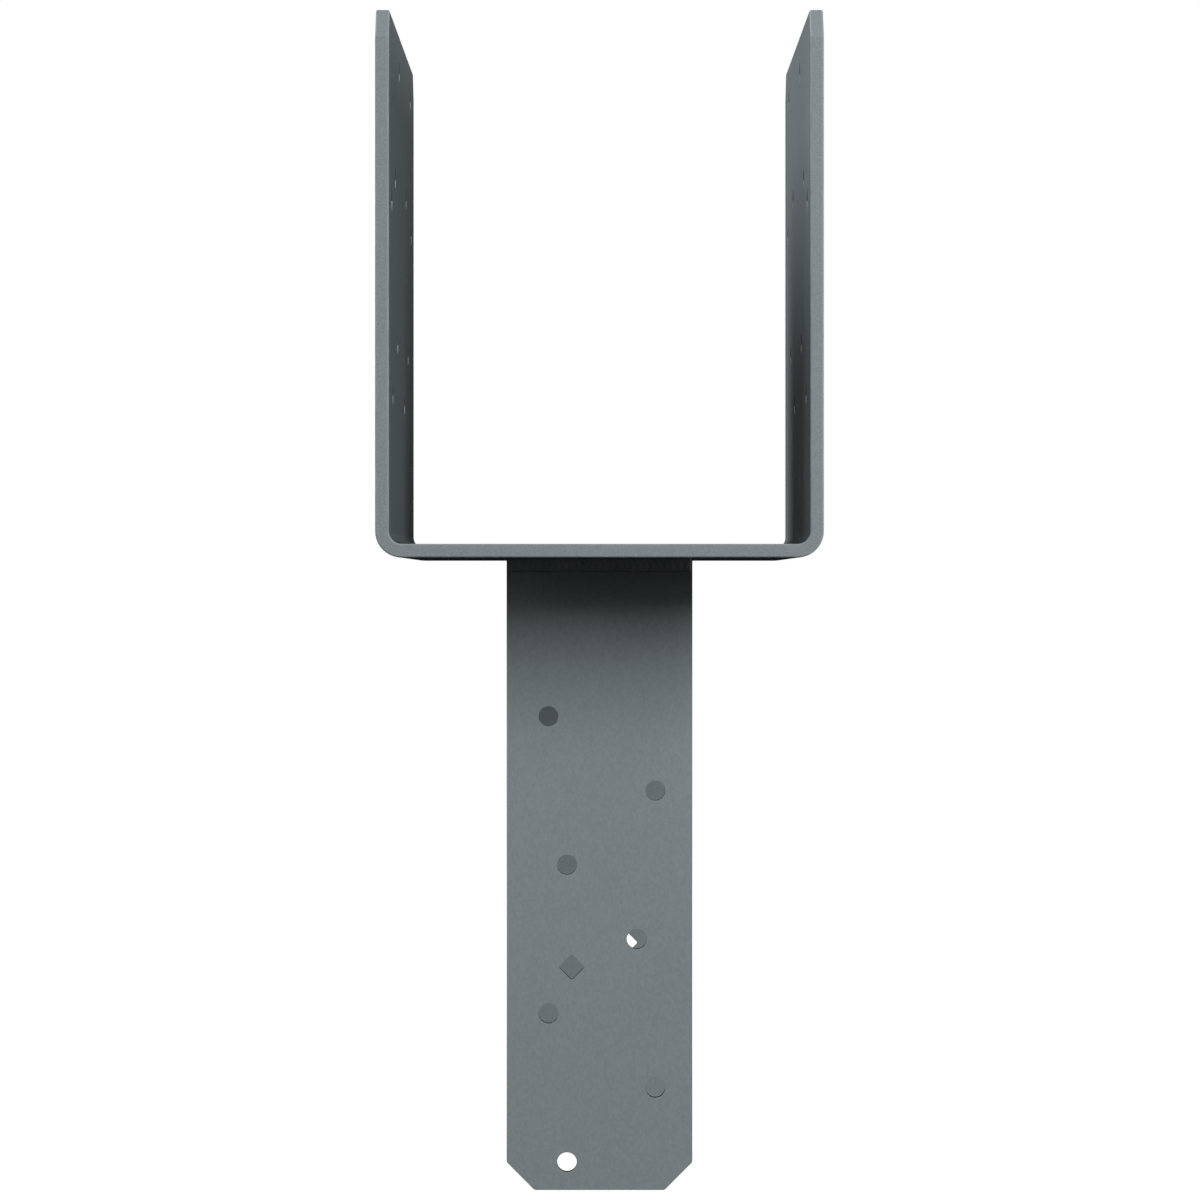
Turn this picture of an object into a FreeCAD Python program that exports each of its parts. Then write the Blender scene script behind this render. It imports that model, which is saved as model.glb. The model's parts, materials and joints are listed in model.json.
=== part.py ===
import FreeCAD, Part
import math
import os

from FreeCAD import Rotation, Vector

# Column cap: a bent-plate saddle holds a beam, and two straps welded under it clasp a post.
# Sizes are millimetres. +Z is up and the beam runs along Y.
# The origin is the centre of the saddle's underside, where the end of the post bears.

INCH = 25.4

# Plate, one gauge for the saddle and the straps
PLATE = 0.1793 * INCH
EDGE_BREAK = 0.4                            # chamfer left on sheared and punched edges

# Saddle
BEAM_GAP = 5.5 * INCH                       # clear width between the flanges
SADDLE_LENGTH = 11.0 * INCH
FLANGE_HEIGHT = 7.0 * INCH                  # above the seat
BEND_RADIUS = 4.25                          # on the inside of each bend
FLANGE_CLIP = 0.375 * INCH                  # corner cut at both ends of a flange's top edge

# Straps
POST_GAP = 5.5 * INCH                       # clear width between the straps
STRAP_WIDTH = 2.5 * INCH
STRAP_LENGTH = 8.5 * INCH                   # below the saddle's underside
STRAP_CLIP = 0.375 * INCH                   # corner cut at the strap's free end

# Welds
WELD_LEG = 0.1875 * INCH
WELD_CROWN = 0.4                            # how far the face bulges past a flat fillet

# Punched holes
SCREW_DIAMETER = 0.25 * INCH
SCREW_CLEARANCE = INCH / 64
DIAMOND_SIDE = 0.25 * INCH                  # square hole set on its corner
DIAMOND_CORNER_RADIUS = 0.8

# Screw rows of a flange, two measured up from the seat and two down from the top edge
FLANGE_ROW_LOW = 2.0 * INCH
FLANGE_ROW_LOWER_MIDDLE = 2.75 * INCH
FLANGE_ROW_UPPER_MIDDLE_DROP = 2.0625 * INCH
FLANGE_ROW_HIGH_DROP = 0.5 * INCH

# Screw columns of a flange, measured in from the saddle's ends
FLANGE_COLUMN_OUTER = 1.6875 * INCH
FLANGE_COLUMN_SECOND = 2.6875 * INCH
FLANGE_COLUMN_THIRD = 3.6875 * INCH
FLANGE_COLUMN_INNER = 4.3125 * INCH

# Diamond holes of a flange
FLANGE_DIAMOND_INSET = 1.25 * INCH          # from the saddle's end
FLANGE_DIAMOND_DROP = 2.4375 * INCH         # from the flange's top edge

# Screws of a strap, in rows counted up from its free end and staggered about its middle
STRAP_ROW_FIRST = 0.375 * INCH              # from the free end
STRAP_ROW_PITCH = 1.0 * INCH
STRAP_BARE_TOP = 2.0 * INCH                 # kept free of screws under the saddle
STRAP_EDGE_LEFT_FAR = 0.8125 * INCH         # screw centres from the strap's edges
STRAP_EDGE_LEFT_NEAR = 0.5625 * INCH
STRAP_EDGE_RIGHT_FAR = 0.75 * INCH
STRAP_EDGE_RIGHT_NEAR = 0.5 * INCH

# Diamond hole of a strap
STRAP_DIAMOND_EDGE = 0.875 * INCH           # from the strap's left edge
STRAP_DIAMOND_ROW = 2                       # index of the screw row below it
STRAP_DIAMOND_RISE = 0.625 * INCH           # above that row

# Derived sizes
HOLE_RADIUS = (SCREW_DIAMETER + SCREW_CLEARANCE) / 2
SADDLE_TOP = PLATE + FLANGE_HEIGHT
SADDLE_HALF_WIDTH = BEAM_GAP / 2 + PLATE
SADDLE_HALF_LENGTH = SADDLE_LENGTH / 2
STRAP_FACE = POST_GAP / 2 + PLATE           # distance of a strap's outer face from the post's axis
STRAP_HALF_WIDTH = STRAP_WIDTH / 2

X_AXIS = Vector(1, 0, 0)
Y_AXIS = Vector(0, 1, 0)
Z_AXIS = Vector(0, 0, 1)
SHARP_ANGLE = math.radians(20)              # faces that meet at more than this make an edge to break
SAME_PLACE = 1e-6


def flange_screws():
    """Centres of a flange's screw holes, as (distance along the beam, height)."""
    outer = SADDLE_HALF_LENGTH - FLANGE_COLUMN_OUTER
    second = SADDLE_HALF_LENGTH - FLANGE_COLUMN_SECOND
    third = SADDLE_HALF_LENGTH - FLANGE_COLUMN_THIRD
    inner = SADDLE_HALF_LENGTH - FLANGE_COLUMN_INNER
    low = PLATE + FLANGE_ROW_LOW
    lower_middle = PLATE + FLANGE_ROW_LOWER_MIDDLE
    upper_middle = SADDLE_TOP - FLANGE_ROW_UPPER_MIDDLE_DROP
    high = SADDLE_TOP - FLANGE_ROW_HIGH_DROP
    return [
        (-outer, low), (inner, low),
        (-third, lower_middle), (second, lower_middle),
        (-second, upper_middle), (third, upper_middle),
        (-inner, high), (outer, high),
    ]


def flange_diamonds():
    """Centres of a flange's diamond holes, as (distance along the beam, height)."""
    reach = SADDLE_HALF_LENGTH - FLANGE_DIAMOND_INSET
    height = SADDLE_TOP - FLANGE_DIAMOND_DROP
    return [(-reach, height), (reach, height)]


def strap_row_height(row):
    """Height of a strap's screw row, counted up from the free end."""
    return -STRAP_LENGTH + STRAP_ROW_FIRST + row * STRAP_ROW_PITCH


def strap_screws():
    """Centres of a strap's screw holes, as (distance across, height), seen from outside."""
    stagger = [
        STRAP_EDGE_LEFT_FAR - STRAP_HALF_WIDTH,
        STRAP_HALF_WIDTH - STRAP_EDGE_RIGHT_NEAR,
        STRAP_EDGE_LEFT_NEAR - STRAP_HALF_WIDTH,
        STRAP_HALF_WIDTH - STRAP_EDGE_RIGHT_FAR,
    ]
    rows = 1 + math.floor((STRAP_LENGTH - STRAP_BARE_TOP - STRAP_ROW_FIRST) / STRAP_ROW_PITCH)
    return [(stagger[row % len(stagger)], strap_row_height(row)) for row in range(rows)]


def strap_diamond():
    """Centre of a strap's diamond hole, as (distance across, height), seen from outside."""
    return STRAP_DIAMOND_EDGE - STRAP_HALF_WIDTH, strap_row_height(STRAP_DIAMOND_ROW) + STRAP_DIAMOND_RISE


def round_punch(depth):
    """Cutter for a screw hole, centred on the origin along Z."""
    return Part.makeCylinder(HOLE_RADIUS, depth, Vector(0, 0, -depth / 2))


def diamond_punch(depth):
    """Cutter for a square hole with rounded corners, set on its corner, centred along Z."""
    half = DIAMOND_SIDE / 2
    block = Part.makeBox(DIAMOND_SIDE, DIAMOND_SIDE, depth, Vector(-half, -half, -depth / 2))
    corners = [edge for edge in block.Edges if abs(edge.tangentAt(edge.FirstParameter).z) > 0.5]
    punch = block.makeFillet(DIAMOND_CORNER_RADIUS, corners)
    punch.rotate(Vector(0, 0, 0), Z_AXIS, 45)
    return punch


def aimed(punch, along, at):
    """Turn a cutter from Z to another axis and move it to its place."""
    punch.Placement = FreeCAD.Placement(at, Rotation(Z_AXIS, along)) * punch.Placement
    return punch


def sharp_edges(solid):
    """Edges where two faces meet at an angle, so not the tangent lines of a bend."""
    found = []
    for edge in solid.Edges:
        faces = solid.ancestorsOfType(edge, Part.Face)
        if len(faces) < 2:
            continue
        middle = edge.valueAt((edge.FirstParameter + edge.LastParameter) / 2)
        first, second = [face.normalAt(*face.Surface.parameter(middle)) for face in faces]
        if first.getAngle(second) > SHARP_ANGLE:
            found.append(edge)
    return found


def entry_rims(solid, axis, distance):
    """Rims of the holes in the flat faces at a distance from the middle, where the punch goes in."""
    rims = []
    for face in solid.Faces:
        flat = isinstance(face.Surface, Part.Plane)
        if flat and abs(abs(face.CenterOfMass.dot(axis)) - distance) < SAME_PLACE:
            holes = [wire for wire in face.Wires if not wire.isSame(face.OuterWire)]
            rims += [edge for wire in holes for edge in wire.Edges]
    return rims


def polygon_prism(points, direction):
    """Solid swept from a closed outline of straight sides."""
    return Part.Face(Part.makePolygon(points + points[:1])).extrude(direction)


def bent_section():
    """Cross-section of the saddle in the XZ plane: seat, two bends and two flanges."""
    inner_x = BEAM_GAP / 2
    outer_x = SADDLE_HALF_WIDTH
    bend_x = inner_x - BEND_RADIUS
    bend_z = PLATE + BEND_RADIUS
    diagonal = math.sqrt(0.5)
    outer_r = BEND_RADIUS + PLATE

    def point(x, z):
        return Vector(x, -SADDLE_HALF_LENGTH, z)

    def bend(side, radius):
        start = point(side * bend_x, bend_z - radius)
        middle = point(side * (bend_x + radius * diagonal), bend_z - radius * diagonal)
        end = point(side * (bend_x + radius), bend_z)
        return Part.Arc(start, middle, end).toShape()

    def line(x1, z1, x2, z2):
        return Part.makeLine(point(x1, z1), point(x2, z2))

    edges = [line(-bend_x, 0, bend_x, 0), line(-bend_x, PLATE, bend_x, PLATE)]
    for side in (-1, 1):
        edges += [bend(side, outer_r), bend(side, BEND_RADIUS)]
        edges += [line(side * x, bend_z, side * x, SADDLE_TOP) for x in (inner_x, outer_x)]
        edges.append(line(side * inner_x, SADDLE_TOP, side * outer_x, SADDLE_TOP))
    return Part.Face(Part.Wire(Part.__sortEdges__(edges)))


def make_saddle():
    """Plate bent into a U, with clipped flange corners and its punched holes."""
    saddle = bent_section().extrude(Vector(0, SADDLE_LENGTH, 0))
    width = 2 * SADDLE_HALF_WIDTH
    clips = []
    for end in (-1, 1):
        tip = end * SADDLE_HALF_LENGTH
        corner = [
            Vector(-SADDLE_HALF_WIDTH, tip, SADDLE_TOP),
            Vector(-SADDLE_HALF_WIDTH, tip - end * FLANGE_CLIP, SADDLE_TOP),
            Vector(-SADDLE_HALF_WIDTH, tip, SADDLE_TOP - FLANGE_CLIP),
        ]
        clips.append(polygon_prism(corner, Vector(width, 0, 0)))
    saddle = saddle.cut(clips)
    saddle = saddle.makeChamfer(EDGE_BREAK, sharp_edges(saddle))
    through = width + PLATE
    punches = [aimed(round_punch(through), X_AXIS, Vector(0, y, z)) for y, z in flange_screws()]
    punches += [aimed(diamond_punch(through), X_AXIS, Vector(0, y, z)) for y, z in flange_diamonds()]
    saddle = saddle.cut(punches)
    return saddle.makeChamfer(EDGE_BREAK, entry_rims(saddle, X_AXIS, SADDLE_HALF_WIDTH))


def make_front_strap():
    """Flat strap on the near side of the post, flush with the saddle's underside at its top."""
    side = STRAP_HALF_WIDTH
    outline = [
        Vector(-side, -STRAP_FACE, 0),
        Vector(side, -STRAP_FACE, 0),
        Vector(side, -STRAP_FACE, -STRAP_LENGTH + STRAP_CLIP),
        Vector(side - STRAP_CLIP, -STRAP_FACE, -STRAP_LENGTH),
        Vector(-side + STRAP_CLIP, -STRAP_FACE, -STRAP_LENGTH),
        Vector(-side, -STRAP_FACE, -STRAP_LENGTH + STRAP_CLIP),
    ]
    strap = polygon_prism(outline, Vector(0, PLATE, 0))
    below_seat = [edge for edge in sharp_edges(strap) if edge.BoundBox.ZMin < -EDGE_BREAK]
    strap = strap.makeChamfer(EDGE_BREAK, below_seat)
    middle = -STRAP_FACE + PLATE / 2
    through = 2 * PLATE
    punches = [aimed(round_punch(through), Y_AXIS, Vector(x, middle, z)) for x, z in strap_screws()]
    diamond_x, diamond_z = strap_diamond()
    punches.append(aimed(diamond_punch(through), Y_AXIS, Vector(diamond_x, middle, diamond_z)))
    strap = strap.cut(punches)
    return strap.makeChamfer(EDGE_BREAK, entry_rims(strap, Y_AXIS, STRAP_FACE))


def make_front_weld():
    """Fillet weld between the saddle and the strap's outer face, over the face's full width."""
    half_run = STRAP_HALF_WIDTH - EDGE_BREAK
    root = Vector(-half_run, -STRAP_FACE, 0)
    toe = root + Vector(0, -WELD_LEG, 0)
    foot = root + Vector(0, 0, -WELD_LEG)
    bulge = WELD_CROWN * math.sqrt(0.5)
    crown = (toe + foot) / 2 + Vector(0, -bulge, -bulge)
    sides = [Part.makeLine(root, toe), Part.Arc(toe, crown, foot).toShape(), Part.makeLine(foot, root)]
    return Part.Face(Part.Wire(sides)).extrude(Vector(2 * half_run, 0, 0))


def turned(shape):
    """The same piece on the far side of the post, half a turn about the post's axis."""
    copy = shape.copy()
    copy.rotate(Vector(0, 0, 0), Z_AXIS, 180)
    return copy


def main():
    front_strap = make_front_strap()
    front_weld = make_front_weld()
    nodes = {
        "saddle": make_saddle(),
        "front_strap": front_strap,
        "rear_strap": turned(front_strap),
        "front_weld": front_weld,
        "rear_weld": turned(front_weld),
    }
    os.makedirs("parts", exist_ok=True)
    for name, shape in nodes.items():
        if not shape.isValid() or len(shape.Solids) != 1:
            raise ValueError(f"{name} is not one valid solid")
        shape.Solids[0].exportStep(f"parts/{name}.step")
        print(f"{name}: {shape.Volume / 1000:.2f} cm3")


if __name__ == "__main__":
    main()
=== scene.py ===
"""Looks of a welded steel column cap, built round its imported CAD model.

The cap is a bent plate saddle on two punched straps, joined by fillet welds and painted grey all over.
Each plate is a copy of its CAD solid with crisp hole rims, rounded edges and marked shear faces. Each weld
is a rippled bead in the place of its solid. One family of procedural paints dresses them all.
Lengths are metres.
"""

import json
import logging
import math
from abc import ABC, abstractmethod
from dataclasses import dataclass
from enum import Enum

import bmesh
import bpy
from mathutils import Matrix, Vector

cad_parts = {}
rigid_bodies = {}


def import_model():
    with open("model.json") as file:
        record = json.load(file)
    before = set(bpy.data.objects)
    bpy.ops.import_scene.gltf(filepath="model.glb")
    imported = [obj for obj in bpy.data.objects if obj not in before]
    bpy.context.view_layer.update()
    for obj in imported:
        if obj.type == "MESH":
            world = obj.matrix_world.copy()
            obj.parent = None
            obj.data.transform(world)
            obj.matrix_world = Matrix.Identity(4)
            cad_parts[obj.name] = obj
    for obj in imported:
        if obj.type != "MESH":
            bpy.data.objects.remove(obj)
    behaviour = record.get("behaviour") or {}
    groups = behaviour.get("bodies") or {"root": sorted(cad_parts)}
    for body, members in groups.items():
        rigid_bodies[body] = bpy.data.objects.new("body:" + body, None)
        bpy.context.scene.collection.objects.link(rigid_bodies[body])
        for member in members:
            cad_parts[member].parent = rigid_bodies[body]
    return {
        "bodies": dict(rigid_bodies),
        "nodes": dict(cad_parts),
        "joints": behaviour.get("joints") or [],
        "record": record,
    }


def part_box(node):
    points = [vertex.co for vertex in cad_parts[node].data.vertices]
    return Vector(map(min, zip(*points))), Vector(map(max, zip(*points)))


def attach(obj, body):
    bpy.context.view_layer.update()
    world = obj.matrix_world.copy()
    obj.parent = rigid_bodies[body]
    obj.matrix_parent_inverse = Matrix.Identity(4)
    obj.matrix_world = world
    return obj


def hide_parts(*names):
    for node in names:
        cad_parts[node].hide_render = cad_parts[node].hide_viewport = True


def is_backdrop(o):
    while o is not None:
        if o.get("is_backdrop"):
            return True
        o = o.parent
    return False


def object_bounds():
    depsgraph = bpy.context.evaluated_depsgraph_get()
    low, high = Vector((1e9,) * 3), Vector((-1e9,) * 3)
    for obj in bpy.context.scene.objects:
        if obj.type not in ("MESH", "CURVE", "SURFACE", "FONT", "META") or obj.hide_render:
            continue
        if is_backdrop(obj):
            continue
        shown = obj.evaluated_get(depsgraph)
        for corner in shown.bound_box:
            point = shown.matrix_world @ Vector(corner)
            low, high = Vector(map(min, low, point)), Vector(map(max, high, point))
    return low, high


LOG = logging.getLogger("column_cap")

MM = 0.001
BODY = "root"
X_AXIS = Vector((1.0, 0.0, 0.0))
Y_AXIS = Vector((0.0, 1.0, 0.0))
Z_AXIS = Vector((0.0, 0.0, 1.0))

# Marks that the shapes carry and the paints read
SHEARED = "sheared"
RUBBED = "rubbed"
BORED = "bored"
ENTRY = "entry"
# share of painted top light on a hole's lip, from how far it faces up
TOP_LIGHT = "top_light"

Colour = tuple[float, float, float]
Span = tuple[float, float]
Socket = bpy.types.NodeSocket
Shape = bmesh.types.BMesh
Face = bmesh.types.BMFace


class RollingLine(Enum):
    """Line along which a plate was rolled, as the pattern's scale on X, Y and Z."""

    ALONG_BEAM = (1.0, 0.75, 1.0)
    DOWN_STRAP = (1.0, 1.0, 0.75)
    NONE = (1.0, 1.0, 1.0)


def opaque(colour: object) -> object:
    """Give a plain colour its alpha of 1, and leave a socket as it is."""
    return (*colour, 1.0) if isinstance(colour, tuple) else colour


class Wiring:
    """Short calls that add nodes to one tree and join their sockets."""

    def __init__(self, tree: bpy.types.NodeTree) -> None:
        """Start the tree afresh."""
        tree.nodes.clear()
        self.tree = tree

    def add(self, kind: str, settings: dict | None = None, inputs: dict | None = None) -> bpy.types.Node:
        """Add one node.

        Args:
            kind: Blender's type name of the node.
            settings: Values for the node's own properties.
            inputs: Values or output sockets for its input sockets, by name or number.

        Returns:
            The new node.
        """
        node = self.tree.nodes.new(kind)
        for name, value in (settings or {}).items():
            setattr(node, name, value)
        for key, value in (inputs or {}).items():
            if isinstance(value, Socket):
                self.link(value, node.inputs[key])
            else:
                node.inputs[key].default_value = value
        return node

    def link(self, source: Socket, target: Socket) -> None:
        """Join an output socket to an input socket."""
        self.tree.links.new(source, target)

    def combine(self, operation: str, first: object, second: object) -> Socket:
        """Combine two numbers by a Math operation and give the result."""
        return self.add("ShaderNodeMath", {"operation": operation}, {0: first, 1: second}).outputs[0]

    def span(self, value: Socket, start: Span, end: Span) -> Socket:
        """Spread a number from one span to another.

        Args:
            value: The number to spread.
            start: Lowest and highest number that come in.
            end: Numbers that these become.

        Returns:
            The spread number, held inside the end span.
        """
        return self.add("ShaderNodeMapRange", {"clamp": True}, {
            "Value": value, "From Min": start[0], "From Max": start[1],
            "To Min": end[0], "To Max": end[1]}).outputs["Result"]

    def tint(self, share: Socket, first: object, second: object) -> Socket:
        """Mix two colours, given as colours or sockets, by a share from 0 to 1."""
        sides = {0: share, 6: opaque(first), 7: opaque(second)}
        return self.add("ShaderNodeMix", {"data_type": "RGBA"}, sides).outputs[2]

    def noise(self, place: Socket, scale: object, detail: float, roughness: float) -> Socket:
        """Add a noise pattern and give its number, about 0.5 on average."""
        inputs = {"Vector": place, "Scale": scale, "Detail": detail, "Roughness": roughness}
        return self.add("ShaderNodeTexNoise", {"noise_dimensions": "3D"}, inputs).outputs[0]

    def mark(self, name: str) -> Socket:
        """Give the number that the mesh carries under a name, 0 where it carries none."""
        return self.add("ShaderNodeAttribute", {"attribute_name": name}).outputs["Fac"]

    def effect(self, group: bpy.types.NodeTree, inputs: dict) -> dict[str, Socket]:
        """Add a shared node group and give its outputs, by name."""
        node = self.add("ShaderNodeGroup", {"node_tree": group}, inputs)
        return {socket.name: socket for socket in node.outputs}


class PaintEffects:
    """Shader node groups that the cap's paints share, each built once."""

    NOISE_SPAN: Span = (0.3, 0.7)
    GRAIN_SPAN: Span = (0.25, 0.75)
    FINE_RATIO = 3.3
    FINE_SHARE = 0.25
    STREAK_SHARE = 0.75
    CLOUD_SHARE = 0.25
    PIT_RATIO = 2.7
    PIT_SHARE = 0.5
    PATCH_SPAN: Span = (0.38, 0.68)
    LEAST_RUB = 0.25

    def __init__(self) -> None:
        """Build the three groups."""
        self.skin = self._skin()
        self.shear = self._shear()
        self.rub = self._rub()

    def _started(
            self, name: str, inputs: dict[str, str], outputs: tuple[str, ...]) -> tuple[Wiring, dict, dict]:
        """Start a group with named sockets.

        Args:
            name: Name of the group.
            inputs: Socket types of its inputs, by name.
            outputs: Names of its outputs, all numbers.

        Returns:
            The group's wiring, its input sockets and its output sockets, by name.
        """
        tree = bpy.data.node_groups.new(name, "ShaderNodeTree")
        for socket, kind in inputs.items():
            tree.interface.new_socket(socket, in_out="INPUT", socket_type=kind)
        for socket in outputs:
            tree.interface.new_socket(socket, in_out="OUTPUT", socket_type="NodeSocketFloat")
        wiring = Wiring(tree)
        given = wiring.add("NodeGroupInput").outputs
        wanted = wiring.add("NodeGroupOutput").inputs
        return wiring, {key: given[key] for key in inputs}, {key: wanted[key] for key in outputs}

    def _skin(self) -> bpy.types.NodeTree:
        """Sprayed skin: drawn-out orange peel for the bump, and a shade and a grain for colour and gloss.

        Returns:
            The group.
        """
        kinds = {
            "Vector": "NodeSocketVector", "Peel Scale": "NodeSocketFloat", "Cloud Scale": "NodeSocketFloat"}
        wiring, given, wanted = self._started("paint_skin", kinds, ("Height", "Shade", "Grain"))
        place, scale = given["Vector"], given["Peel Scale"]
        peel = wiring.noise(place, scale, 2.0, 0.5)
        fine = wiring.noise(place, wiring.combine("MULTIPLY", scale, self.FINE_RATIO), 1.0, 0.5)
        cloud = wiring.noise(place, given["Cloud Scale"], 4.0, 0.6)
        height = wiring.combine("ADD", peel, wiring.combine("MULTIPLY", fine, self.FINE_SHARE))
        streaks = wiring.span(peel, self.NOISE_SPAN, (0.0, self.STREAK_SHARE))
        clouds = wiring.span(cloud, self.NOISE_SPAN, (0.0, self.CLOUD_SHARE))
        wiring.link(height, wanted["Height"])
        wiring.link(wiring.combine("ADD", streaks, clouds), wanted["Shade"])
        wiring.link(wiring.span(fine, self.GRAIN_SPAN, (0.0, 1.0)), wanted["Grain"])
        return wiring.tree

    def _shear(self) -> bpy.types.NodeTree:
        """Torn metal under the paint of a sheared or punched face: coarse speckle.

        Returns:
            The group.
        """
        kinds = {"Vector": "NodeSocketVector", "Scale": "NodeSocketFloat"}
        wiring, given, wanted = self._started("shear_marks", kinds, ("Height", "Speck"))
        place, scale = given["Vector"], given["Scale"]
        coarse = wiring.noise(place, scale, 3.0, 0.6)
        pits = wiring.noise(place, wiring.combine("MULTIPLY", scale, self.PIT_RATIO), 1.0, 0.5)
        height = wiring.combine("ADD", coarse, wiring.combine("MULTIPLY", pits, self.PIT_SHARE))
        wiring.link(height, wanted["Height"])
        wiring.link(wiring.span(pits, self.NOISE_SPAN, (0.0, 1.0)), wanted["Speck"])
        return wiring.tree

    def _rub(self) -> bpy.types.NodeTree:
        """Paint that handling has rubbed thin along the edges, in patches.

        Returns:
            The group.
        """
        kinds = {"Vector": "NodeSocketVector", "Edge": "NodeSocketFloat", "Patch Scale": "NodeSocketFloat"}
        wiring, given, wanted = self._started("rubbed_edges", kinds, ("Mask",))
        patch = wiring.noise(given["Vector"], given["Patch Scale"], 3.0, 0.6)
        share = wiring.span(patch, self.PATCH_SPAN, (self.LEAST_RUB, 1.0))
        wiring.link(wiring.combine("MULTIPLY", share, given["Edge"]), wanted["Mask"])
        return wiring.tree


@dataclass(frozen=True)
class GreyPaint:
    """Grey paint sprayed over steel that is rolled, sheared or welded, with painted shade and top light in
    its holes and a tinted coat that paints shade at glancing angles.
    """

    name: str
    rolling: RollingLine
    tone: Colour = (0.165, 0.192, 0.202)
    pale_tone: Colour = (0.193, 0.221, 0.231)
    sheared_tone: Colour = (0.158, 0.184, 0.192)
    sheared_pale_tone: Colour = (0.216, 0.245, 0.254)
    rubbed_tone: Colour = (0.235, 0.262, 0.270)
    # painted shade deep in the holes
    hole_shade_tone: Colour = (0.022, 0.025, 0.027)
    # painted shade on hole lips that face down
    shaded_lip_tone: Colour = (0.050, 0.057, 0.060)
    # painted top light on hole lips that face up
    top_light_tone: Colour = (0.350, 0.375, 0.380)
    peel_size: float = 1.0 * MM
    peel_height: float = 0.035 * MM
    shear_size: float = 0.8 * MM
    shear_height: float = 0.07 * MM
    cloud_size: float = 28 * MM
    rub_size: float = 9 * MM
    lip_span: Span = (0.14, 0.224)
    lip_ragged: float = 0.05
    matt: float = 0.98
    satin: float = 0.92
    specular: float = 0.03
    # a tinted coat with no reflection, which paints shade where the paint is seen at a glancing angle
    glancing_shade_tint: Colour = (0.972, 0.972, 0.972)
    glancing_shade_share: float = 0.78
    glancing_shade_ior: float = 1.0

    def material(self, effects: PaintEffects) -> bpy.types.Material:
        """Build the paint's material.

        Args:
            effects: The shared node groups.

        Returns:
            The material, which reads the marks on the piece's shape.
        """
        made = bpy.data.materials.new(self.name)
        made.use_nodes = True
        made.diffuse_color = opaque(self.tone)
        wiring = Wiring(made.node_tree)
        place = wiring.add("ShaderNodeTexCoord").outputs["Object"]
        drawn = {"Vector": place, "Scale": self.rolling.value}
        rolled = wiring.add("ShaderNodeMapping", inputs=drawn).outputs[0]
        skin = wiring.effect(effects.skin, {
            "Vector": rolled, "Peel Scale": 1 / self.peel_size, "Cloud Scale": 1 / self.cloud_size})
        shear = wiring.effect(effects.shear, {"Vector": place, "Scale": 1 / self.shear_size})
        rub = wiring.effect(effects.rub, {
            "Vector": place, "Edge": wiring.mark(RUBBED), "Patch Scale": 1 / self.rub_size})
        sheared = wiring.mark(SHEARED)

        flat = wiring.tint(skin["Shade"], self.tone, self.pale_tone)
        cut = wiring.tint(shear["Speck"], self.sheared_tone, self.sheared_pale_tone)
        worn = wiring.tint(rub["Mask"], wiring.tint(sheared, flat, cut), self.rubbed_tone)
        # hole walls take painted shade, with painted top light on the lips that face up
        colour = wiring.tint(wiring.mark(BORED), worn, self._hole_wall(wiring, shear["Speck"]))
        gloss = wiring.span(skin["Grain"], (0.0, 1.0), (self.satin, self.matt))
        peel = wiring.combine("MULTIPLY", skin["Height"], self.peel_height)
        tear = wiring.combine("MULTIPLY", shear["Height"], self.shear_height)
        height = wiring.combine("ADD", peel, wiring.combine("MULTIPLY", tear, sheared))
        bump = wiring.add("ShaderNodeBump", inputs={"Strength": 1.0, "Distance": 1.0, "Height": height})
        # the coat's tint paints shade where the surface is seen at a glancing angle
        shader = wiring.add("ShaderNodeBsdfPrincipled", inputs={
            "Base Color": colour, "Roughness": gloss, "Normal": bump.outputs["Normal"],
            "Specular IOR Level": self.specular, "Coat Weight": self.glancing_shade_share,
            "Coat Roughness": self.matt, "Coat IOR": self.glancing_shade_ior, "Coat Tint": opaque(self.glancing_shade_tint)})
        wiring.add("ShaderNodeOutputMaterial", inputs={"Surface": shader.outputs[0]})
        return made

    def _hole_wall(self, wiring: Wiring, speck: Socket) -> Socket:
        """Colour the wall of a hole with painted shade: near black, with a ragged lip where the punch came
        out.

        Args:
            wiring: The material's wiring.
            speck: Speckle of the torn metal.

        Returns:
            The colour, with painted top light where the lip faces up and painted shade where it faces down.
        """
        ragged = wiring.combine("MULTIPLY", speck, self.lip_ragged)
        inside = wiring.combine("ADD", wiring.mark(ENTRY), ragged)
        deep_shade_share = wiring.span(inside, self.lip_span, (0.0, 1.0))
        lip = wiring.tint(wiring.mark(TOP_LIGHT), self.shaded_lip_tone, self.top_light_tone)
        return wiring.tint(deep_shade_share, lip, self.hole_shade_tone)


def dressed(shape: Shape, name: str, node: str, paint: bpy.types.Material) -> bpy.types.Object:
    """Turn a finished shape into a painted piece of the cap that stands for a CAD node.

    Args:
        shape: The shape, which is freed.
        name: Name of the piece.
        node: The CAD node that it replaces.
        paint: The piece's material.

    Returns:
        The piece, riding on the cap's one body.
    """
    mesh = bpy.data.meshes.new(name)
    shape.to_mesh(mesh)
    shape.free()
    mesh.materials.append(paint)
    mesh.shade_smooth()
    piece = bpy.data.objects.new(name, mesh)
    bpy.context.scene.collection.objects.link(piece)
    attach(piece, BODY)
    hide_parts(node)
    return piece


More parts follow.
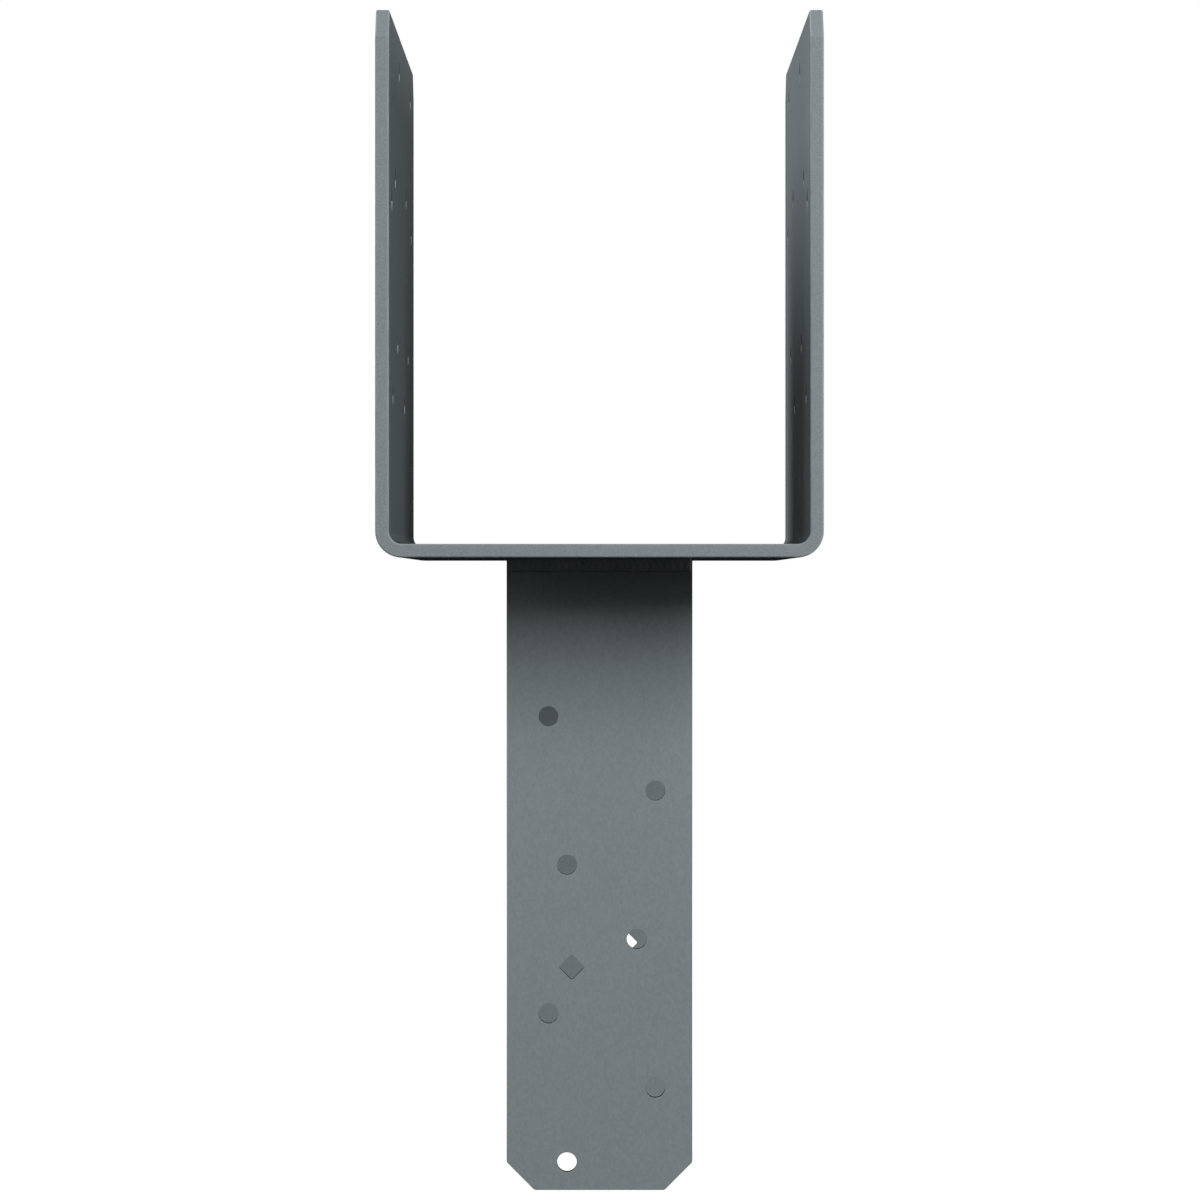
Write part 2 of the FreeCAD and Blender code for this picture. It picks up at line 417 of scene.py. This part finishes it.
@dataclass
class Plate(ABC):
    """A sheared and punched steel plate, dressed from a copy of its CAD solid."""

    node: str
    paint: GreyPaint
    edge_round: float = 0.13 * MM
    edge_steps: int = 2
    rim_round: float = 0.04 * MM
    rim_steps: int = 2
    hole_reach: float = 12 * MM
    # how fast a hole's lip turns to painted top light as it faces up
    top_light_gain: float = 5.0
    crisp_outline: bool = False
    merge_reach: float = 0.001 * MM
    flat_angle: float = math.radians(0.5)
    sharp_angle: float = math.radians(30)
    square_angle: float = math.radians(75)
    face_share: float = 0.95
    edge_share: float = 0.5
    flat_weight: int = 100

    @abstractmethod
    def through(self, point: Vector) -> Vector:
        """Give the direction through the plate's thickness at a point."""

    @abstractmethod
    def joined(self, point: Vector) -> bool:
        """Tell whether the plate's edge at a point is held against another piece."""

    def build(self, frame: dict, effects: PaintEffects) -> bpy.types.Object:
        """Build and dress the plate.

        Args:
            frame: The loaded CAD frame.
            effects: The paint's shared node groups.

        Returns:
            The plate's piece.
        """
        shape = self._copied_solid(frame["nodes"][self.node])
        self._mark_faces(shape)
        self._sharpen_rims(shape)
        self._round_edges(shape)
        piece = dressed(shape, f"{self.node}_plate", self.node, self.paint.material(effects))
        flats = piece.modifiers.new("flat faces stay flat", "WEIGHTED_NORMAL")
        flats.mode = "FACE_AREA"
        flats.weight = self.flat_weight
        return piece

    def _copied_solid(self, solid: bpy.types.Object) -> Shape:
        """Copy a CAD node's mesh and join its loose triangles into whole faces.

        Args:
            solid: The CAD node's object, which is left as it is.

        Returns:
            The copy.
        """
        shape = bmesh.new()
        shape.from_mesh(solid.data)
        bmesh.ops.remove_doubles(shape, verts=shape.verts, dist=self.merge_reach)
        bmesh.ops.dissolve_limit(
            shape, angle_limit=self.flat_angle, verts=shape.verts, edges=shape.edges)
        shape.normal_update()
        return shape

    def _mark_faces(self, shape: Shape) -> None:
        """Mark sheared and punched faces, and the broken edges between them and the plate's skin.

        Args:
            shape: The plate's shape, which gets one number for each mark.
        """
        for mark in (SHEARED, RUBBED, BORED, TOP_LIGHT):
            shape.faces.layers.float.new(mark)
        shape.verts.layers.float.new(ENTRY)
        sheared = shape.faces.layers.float[SHEARED]
        rubbed = shape.faces.layers.float[RUBBED]
        for face in shape.faces:
            share = abs(face.normal.dot(self.through(face.calc_center_median())))
            face[sheared] = float(share < self.face_share)
            face[rubbed] = float(self.edge_share < share < self.face_share)

    def _sharpen_rims(self, shape: Shape) -> None:
        """Mark the holes' walls and their lips' share of painted top light, and bring broken edges that
        should be crisp back to a square corner.

        Args:
            shape: The plate's shape, with its faces marked.
        """
        wall_marks = [shape.faces.layers.float[name] for name in (SHEARED, RUBBED, BORED)]
        sheared, rubbed, bored = wall_marks
        top_light = shape.faces.layers.float[TOP_LIGHT]
        for group in self._groups([face for face in shape.faces if face[sheared]]):
            is_hole = self._is_hole(group)
            for face in group:
                face[bored] = float(is_hole)
                # painted top light: the more a wall faces up, the paler its lip
                face[top_light] = min(1.0, max(0.0, self.top_light_gain * face.normal.z))
            if not is_hole and not self.crisp_outline:
                continue
            broken = [face for face in group if face[rubbed]]
            for rim in self._groups(broken):
                self._flatten_rim(shape, rim)
            for face in broken:
                for mark in wall_marks:
                    face[mark] = 0.0
        shape.normal_update()

    def _is_hole(self, group: list[Face]) -> bool:
        """Tell whether sheared faces that hang together are small enough to be one hole."""
        points = [vert.co for face in group for vert in face.verts]
        return max((point - points[0]).length for point in points) < self.hole_reach

    def _flatten_rim(self, shape: Shape, rim: list[Face]) -> None:
        """Flatten a broken edge into the plate's skin, and mark where it meets the wall.

        Args:
            shape: The plate's shape, with its faces marked.
            rim: The faces of the broken edge.
        """
        sheared = shape.faces.layers.float[SHEARED]
        entry = shape.verts.layers.float[ENTRY]
        corners = list(dict.fromkeys(vert for face in rim for vert in face.verts))
        on_wall = [all(face[sheared] for face in vert.link_faces) for vert in corners]
        level = corners[on_wall.index(False)].co.copy()
        for vert, is_on_wall in zip(corners, on_wall):
            axis = self.through(vert.co)
            vert[entry] = float(is_on_wall)
            vert.co += axis * (level - vert.co).dot(axis)

    def _groups(self, faces: list[Face]) -> list[list[Face]]:
        """Sort faces into groups that hang together.

        Args:
            faces: The faces.

        Returns:
            The groups, each in the order of the faces.
        """
        left = set(faces)
        groups = []
        for start in faces:
            if start not in left:
                continue
            group = set()
            reached = {start}
            while reached:
                group |= reached
                left -= reached
                near = {other for face in reached for edge in face.edges for other in edge.link_faces}
                reached = near & left
            groups.append([face for face in faces if face in group])
        return groups

    def _round_edges(self, shape: Shape) -> None:
        """Round the borders of the broken edges, then barely take off the square corners.

        Args:
            shape: The plate's shape.
        """
        self._round(shape, (self.sharp_angle, self.square_angle), self.edge_round, self.edge_steps)
        self._round(shape, (self.square_angle, math.pi), self.rim_round, self.rim_steps)

    def _round(self, shape: Shape, turns: Span, radius: float, steps: int) -> None:
        """Round the free edges whose faces turn by an angle in a span, and mark the roundings as rubbed.

        Args:
            shape: The plate's shape.
            turns: Least and greatest turn between the faces at an edge.
            radius: How far the rounding goes from the edge.
            steps: Number of faces across the rounding.
        """
        bored = shape.faces.layers.float[BORED]
        sharp = [
            edge for edge in shape.edges
            if turns[0] < edge.calc_face_angle(0.0) <= turns[1]
            and not all(face[bored] for face in edge.link_faces)
            and not all(self.joined(vert.co) for vert in edge.verts)]
        made = bmesh.ops.bevel(
            shape, geom=sharp, offset=radius, offset_type="OFFSET", affect="EDGES",
            segments=steps, profile=0.5, material=-1, clamp_overlap=False)
        rubbed = shape.faces.layers.float[RUBBED]
        for face in made["faces"]:
            face[rubbed] = 1.0


@dataclass
class Strap(Plate):
    """One of the two flat straps that clasp the post."""

    crisp_outline: bool = True
    # no painted top light on the straps' hole lips
    top_light_gain: float = 0.0

    def through(self, point: Vector) -> Vector:
        """Give the direction through the strap, the same everywhere."""
        return Y_AXIS

    def joined(self, point: Vector) -> bool:
        """Tell whether a point is on the strap's top end, against the saddle."""
        return point.z > -self.merge_reach


@dataclass
class Saddle(Plate):
    """The seat and the two flanges, one plate bent twice."""

    thickness: float = 0.0
    half_width: float = 0.0
    bend_radius: float = 4.25 * MM

    def through(self, point: Vector) -> Vector:
        """Give the direction through the plate at a point.

        Args:
            point: A point on or in the plate.

        Returns:
            Across the flange, up through the seat, or out from the middle of a bend.
        """
        reach = self.thickness + self.bend_radius
        if point.z > reach:
            return X_AXIS
        middle = self.half_width - reach
        if abs(point.x) < middle:
            return Z_AXIS
        side = math.copysign(1.0, point.x)
        return Vector((side * (abs(point.x) - middle), 0.0, point.z - reach)).normalized()

    def joined(self, point: Vector) -> bool:
        """Tell that none of the saddle's edges are held."""
        return False


@dataclass
class FilletWeld:
    """A fillet weld between the saddle's underside and a strap's outer face."""

    node: str
    paint: GreyPaint
    outward: float
    crown: float = 0.4 * MM
    ripple_pitch: float = 2.3 * MM
    ripple_height: float = 0.10 * MM
    ripple_bow: float = 1.6 * MM
    end_round: float = 0.2 * MM
    end_least: float = 0.02
    sway: float = 0.06
    sway_long: float = 5.1 * MM
    sway_short: float = 3.7 * MM
    station_pitch: float = 0.25 * MM
    face_steps: int = 10
    merge_reach: float = 0.001 * MM

    def build(self, effects: PaintEffects) -> bpy.types.Object:
        """Build and dress the bead.

        Args:
            effects: The paint's shared node groups.

        Returns:
            The bead's piece.
        """
        low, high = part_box(self.node)
        half_length = (high.x - low.x) / 2
        leg = high.z - low.z
        root = Vector((0.0, low.y if self.outward > 0 else high.y, high.z))
        shape = bmesh.new()
        stations = round(2 * half_length / self.station_pitch)
        bmesh.ops.create_grid(shape, x_segments=stations, y_segments=self.face_steps, size=1.0)
        rubbed = shape.verts.layers.float.new(RUBBED)
        for vert in shape.verts:
            along, across = vert.co.x * half_length, (vert.co.y + 1) / 2
            crest = self._crest(along, across)
            vert[rubbed] = crest
            vert.co = root + self._face_point(along, across, crest, leg, half_length)
        rim = [edge for edge in shape.edges if edge.is_boundary]
        made = bmesh.ops.extrude_edge_only(shape, edges=rim)
        for part in made["geom"]:
            if isinstance(part, bmesh.types.BMVert):
                part.co = Vector((part.co.x, root.y, root.z))
        bmesh.ops.remove_doubles(shape, verts=shape.verts, dist=self.merge_reach)
        bmesh.ops.recalc_face_normals(shape, faces=shape.faces)
        return dressed(shape, f"{self.node}_bead", self.node, self.paint.material(effects))

    def _crest(self, along: float, across: float) -> float:
        """Give how near a point of the bead's face is to the top of a ripple, from 0 to 1.

        Args:
            along: Distance along the bead from its middle.
            across: Share of the way across the face, from the saddle to the strap.

        Returns:
            1 on a crest, 0 in a valley and at both toes.
        """
        bowed = along + self.ripple_bow * (2 * across - 1) ** 2
        wave = 0.5 + 0.5 * math.cos(math.tau * bowed / self.ripple_pitch)
        return wave * math.sin(math.pi * across)

    def _face_point(self, along: float, across: float, crest: float, leg: float, half: float) -> Vector:
        """Give a point of the bead's face, measured from the weld's root.

        Args:
            along: Distance along the bead from its middle.
            across: Share of the way across the face, from the saddle to the strap.
            crest: Height of the ripple there, from 0 to 1.
            leg: Leg of the fillet.
            half: Half of the bead's length.

        Returns:
            The point, inside the weld's CAD solid's box.
        """
        past = max(0.0, abs(along) - (half - self.end_round)) / self.end_round
        drift = math.sin(along / self.sway_long) * math.cos(along / self.sway_short)
        swell = 1 - self.sway * (0.5 + 0.5 * drift)
        size = leg * swell * math.sqrt(max(self.end_least, 1 - past ** 2))
        arch = math.sin(math.pi * across)
        bulge = (self.crown + self.ripple_height * (crest - 0.5)) * arch * size / leg
        out = size * (1 - across) + bulge * math.sqrt(0.5)
        down = size * across + bulge * math.sqrt(0.5)
        return Vector((along, self.outward * out, -down))


@dataclass(frozen=True)
class PhotoCamera:
    """The photograph's camera: level, over the cap's middle line, looking along the beam."""

    frame_px: float = 1200.0
    focal_px: float = 6256.0
    axis_x_px: float = 599.5
    axis_y_px: float = 585.0
    sensor_mm: float = 36.0
    stand_off: float = 2073 * MM
    height: float = -9.1 * MM

    def build(self, near_end: float) -> bpy.types.Object:
        """Place the camera and make it the scene's.

        Args:
            near_end: Where the saddle's near end is, along the beam.

        Returns:
            The camera.
        """
        lens = bpy.data.cameras.new("photo_camera")
        lens.sensor_width = self.sensor_mm
        lens.lens = self.focal_px * self.sensor_mm / self.frame_px
        lens.shift_x = 0.5 - self.axis_x_px / self.frame_px
        lens.shift_y = self.axis_y_px / self.frame_px - 0.5
        camera = bpy.data.objects.new("photo_camera", lens)
        camera.location = (0.0, near_end - self.stand_off, self.height)
        camera.rotation_euler = (math.radians(90), 0.0, 0.0)
        bpy.context.scene.collection.objects.link(camera)
        bpy.context.scene.camera = camera
        return camera


@dataclass(frozen=True)
class SoftLamp:
    """A rectangular soft box that faces the cap."""

    name: str
    level: float            # brightness of a white card that faces it from the cap's place
    azimuth: float          # degrees round from the front, towards the right
    elevation: float        # degrees up
    distance: float
    width: float
    height: float

    def build(self, target: Vector) -> bpy.types.Object:
        """Place the lamp.

        Args:
            target: The point that it faces.

        Returns:
            The lamp.
        """
        turn, rise = math.radians(self.azimuth), math.radians(self.elevation)
        level_part = Vector((math.sin(turn), -math.cos(turn), 0.0))
        towards = level_part * math.cos(rise) + Z_AXIS * math.sin(rise)
        box = bpy.data.lights.new(self.name, "AREA")
        box.shape = "RECTANGLE"
        box.size = self.width
        box.size_y = self.height
        box.energy = self.level * (math.pi * self.distance) ** 2
        lamp = bpy.data.objects.new(self.name, box)
        lamp.location = target + towards * self.distance
        lamp.rotation_euler = towards.to_track_quat("Z", "Y").to_euler()
        lamp.visible_camera = False
        bpy.context.scene.collection.objects.link(lamp)
        return lamp


@dataclass(frozen=True)
class Studio:
    """Plain white surroundings: a pale floor, a white backdrop and soft boxes."""

    floor_reach: float = 20.0
    floor_sides: int = 96
    floor_colour: Colour = (0.15, 0.15, 0.15)
    floor_return: Colour = (0.03, 0.03, 0.03)
    floor_white: float = 0.87
    lit_radius: float = 0.4
    white_radius: float = 1.4
    white: Colour = (1.0, 1.0, 1.0)
    lamps: tuple[SoftLamp, ...] = (
        SoftLamp("front_box", 0.26, 8.0, 26.5, 3.0, 0.30, 1.58),
        SoftLamp("front_right_box", 0.72, 35.0, 26.0, 1.6, 0.30, 0.84),
        SoftLamp("front_left_box", 0.25, -22.5, 26.5, 3.0, 0.40, 1.58),
        SoftLamp("low_left_box", 0.20, -65.0, 10.0, 2.0, 0.60, 0.60),
        SoftLamp("right_box", 0.77, 87.3, 6.0, 2.0, 0.55, 0.67),
        SoftLamp("left_box", 0.33, -100.0, 30.0, 2.0, 0.80, 0.80),
        SoftLamp("back_left_box", 1.14, -116.0, 30.0, 2.0, 0.80, 0.80),
        SoftLamp("back_box", 0.30, 180.0, 35.0, 2.5, 0.50, 0.60),
    )

    def build(self, low: Vector, high: Vector) -> None:
        """Build the floor, the world and the lamps.

        Args:
            low: Lowest corner of the cap's box.
            high: Highest corner of the cap's box.
        """
        bpy.context.scene.view_settings.view_transform = "Standard"
        self._build_floor(low.z)
        self._build_world()
        for lamp in self.lamps:
            lamp.build((low + high) / 2)
            LOG.info("lamp %s", lamp.name)

    def _seen(self, wiring: Wiring) -> Socket:
        """Give 1 for rays that show the surroundings themselves, and 0 for rays that light the cap."""
        path = wiring.add("ShaderNodeLightPath").outputs
        mirrored = wiring.combine("MAXIMUM", path["Is Glossy Ray"], path["Is Transmission Ray"])
        return wiring.combine("MAXIMUM", path["Is Camera Ray"], mirrored)

    def _build_floor(self, level: float) -> None:
        """Build the floor at a level, white where it is seen and dim where it sends light back.

        Args:
            level: Height of the floor.
        """
        shape = bmesh.new()
        bmesh.ops.create_circle(shape, cap_ends=True, segments=self.floor_sides, radius=self.floor_reach)
        bmesh.ops.translate(shape, verts=shape.verts, vec=(0.0, 0.0, level))
        mesh = bpy.data.meshes.new("floor")
        shape.to_mesh(mesh)
        shape.free()
        floor = bpy.data.objects.new("floor", mesh)
        bpy.context.scene.collection.objects.link(floor)
        floor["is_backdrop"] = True
        mesh.materials.append(self._floor_paper())

    def _floor_paper(self) -> bpy.types.Material:
        """Build the floor's white paper.

        Returns:
            The material: it glows where it is seen, and takes the cap's shadow.
        """
        paper = bpy.data.materials.new("floor_paper")
        paper.use_nodes = True
        wiring = Wiring(paper.node_tree)
        seen = self._seen(wiring)
        place = wiring.add("ShaderNodeTexCoord").outputs["Object"]
        away = wiring.add("ShaderNodeVectorMath", {"operation": "LENGTH"}, {0: place}).outputs["Value"]
        shade = wiring.span(away, (self.lit_radius, self.white_radius), (self.floor_white, 1.0))
        colour = wiring.tint(seen, self.floor_return, self.floor_colour)
        matt = wiring.add("ShaderNodeBsdfDiffuse", inputs={"Color": colour}).outputs[0]
        strength = wiring.combine("MULTIPLY", seen, shade)
        glow = wiring.add("ShaderNodeEmission", inputs={"Strength": strength}).outputs[0]
        both = wiring.add("ShaderNodeAddShader", inputs={0: matt, 1: glow}).outputs[0]
        wiring.add("ShaderNodeOutputMaterial", inputs={"Surface": both})
        return paper

    def _build_world(self) -> None:
        """Build the world, white where it is seen and dark where it would light the cap."""
        world = bpy.data.worlds.new("white_backdrop")
        world.use_nodes = True
        wiring = Wiring(world.node_tree)
        sky = wiring.add("ShaderNodeBackground", inputs={
            "Color": opaque(self.white), "Strength": self._seen(wiring)})
        wiring.add("ShaderNodeOutputWorld", inputs={"Surface": sky.outputs[0]})
        bpy.context.scene.world = world


def main() -> None:
    """Build the cap's pieces, the camera and the studio."""
    logging.basicConfig(level=logging.INFO, format="%(name)s: %(message)s")
    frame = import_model()
    cad_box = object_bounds()
    low, high = cad_box
    strap_low, strap_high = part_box("front_strap")
    effects = PaintEffects()
    saddle_paint = GreyPaint("saddle_paint", RollingLine.ALONG_BEAM)
    strap_paint = GreyPaint("strap_paint", RollingLine.DOWN_STRAP)
    weld_paint = GreyPaint("weld_paint", RollingLine.NONE)
    PhotoCamera().build(low.y)
    plates = (
        Saddle("saddle", saddle_paint, thickness=strap_high.y - strap_low.y, half_width=high.x),
        Strap("front_strap", strap_paint),
        Strap("rear_strap", strap_paint),
    )
    welds = (
        FilletWeld("front_weld", weld_paint, outward=-1.0),
        FilletWeld("rear_weld", weld_paint, outward=1.0),
    )
    for plate in plates:
        piece = plate.build(frame, effects)
        LOG.info("plate %s, %d faces", piece.name, len(piece.data.polygons))
    for weld in welds:
        piece = weld.build(effects)
        LOG.info("weld %s, %d faces", piece.name, len(piece.data.polygons))
    Studio().build(low, high)


if __name__ == "__main__":
    main()
